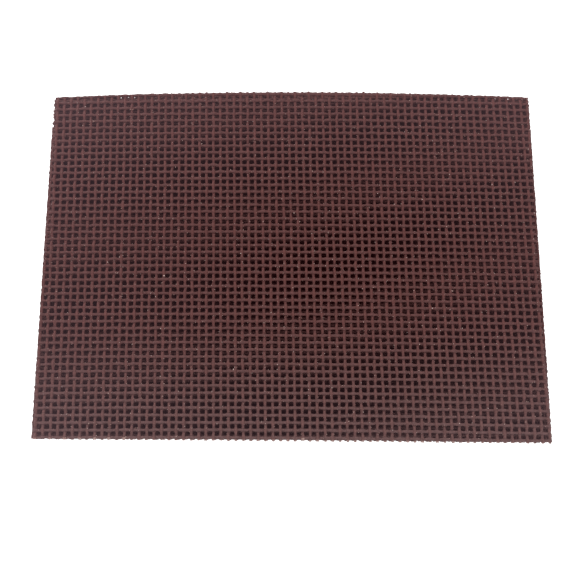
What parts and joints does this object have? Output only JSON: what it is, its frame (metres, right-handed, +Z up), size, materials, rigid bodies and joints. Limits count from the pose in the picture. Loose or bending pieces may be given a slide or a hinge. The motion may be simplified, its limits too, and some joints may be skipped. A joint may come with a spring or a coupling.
{
  "type": "abrasive mesh sheet pack",
  "caption": "Pack of loose rectangular sheets of stiff open square mesh, resin-coated and gritty, cut slightly off the grain and stacked flat; each sheet lifts off.",
  "frame": {"origin": "bottom centre of the pack's box, on the surface that the pack lies on", "axes": "+X along the sheets' long side, +Y to the far edge, +Z up through the pack"},
  "size_m": [0.1468, 0.105, 0.0129],
  "materials": {
    "warp_coat": "matte",
    "weft_coat": "matte"
  },
  "bodies": {
    "sheet_01": {"sheet_01_warp_strands": "warp_coat", "sheet_01_weft_strands": "weft_coat"},
    "sheet_02": {"sheet_02_warp_strands": "warp_coat", "sheet_02_weft_strands": "weft_coat"},
    "sheet_03": {"sheet_03_warp_strands": "warp_coat", "sheet_03_weft_strands": "weft_coat"},
    "sheet_04": {"sheet_04_warp_strands": "warp_coat", "sheet_04_weft_strands": "weft_coat"},
    "sheet_05": {"sheet_05_warp_strands": "warp_coat", "sheet_05_weft_strands": "weft_coat"},
    "sheet_06": {"sheet_06_warp_strands": "warp_coat", "sheet_06_weft_strands": "weft_coat"},
    "sheet_07": {"sheet_07_warp_strands": "warp_coat", "sheet_07_weft_strands": "weft_coat"},
    "sheet_08": {"sheet_08_warp_strands": "warp_coat", "sheet_08_weft_strands": "weft_coat"},
    "sheet_09": {"sheet_09_warp_strands": "warp_coat", "sheet_09_weft_strands": "weft_coat"},
    "sheet_10": {"sheet_10_warp_strands": "warp_coat", "sheet_10_weft_strands": "weft_coat"}
  },
  "joints": [
    {"name": "sheet_02_lift", "type": "slide", "parent": "sheet_01", "child": "sheet_02", "axis": [0, 0, 1], "range_m": [0, 0.015]},
    {"name": "sheet_03_lift", "type": "slide", "parent": "sheet_02", "child": "sheet_03", "axis": [0, 0, 1], "range_m": [0, 0.015]},
    {"name": "sheet_04_lift", "type": "slide", "parent": "sheet_03", "child": "sheet_04", "axis": [0, 0, 1], "range_m": [0, 0.015]},
    {"name": "sheet_05_lift", "type": "slide", "parent": "sheet_04", "child": "sheet_05", "axis": [0, 0, 1], "range_m": [0, 0.015]},
    {"name": "sheet_06_lift", "type": "slide", "parent": "sheet_05", "child": "sheet_06", "axis": [0, 0, 1], "range_m": [0, 0.015]},
    {"name": "sheet_07_lift", "type": "slide", "parent": "sheet_06", "child": "sheet_07", "axis": [0, 0, 1], "range_m": [0, 0.015]},
    {"name": "sheet_08_lift", "type": "slide", "parent": "sheet_07", "child": "sheet_08", "axis": [0, 0, 1], "range_m": [0, 0.015]},
    {"name": "sheet_09_lift", "type": "slide", "parent": "sheet_08", "child": "sheet_09", "axis": [0, 0, 1], "range_m": [0, 0.015]},
    {"name": "sheet_10_lift", "type": "slide", "parent": "sheet_09", "child": "sheet_10", "axis": [0, 0, 1], "range_m": [0, 0.015]}
  ]
}
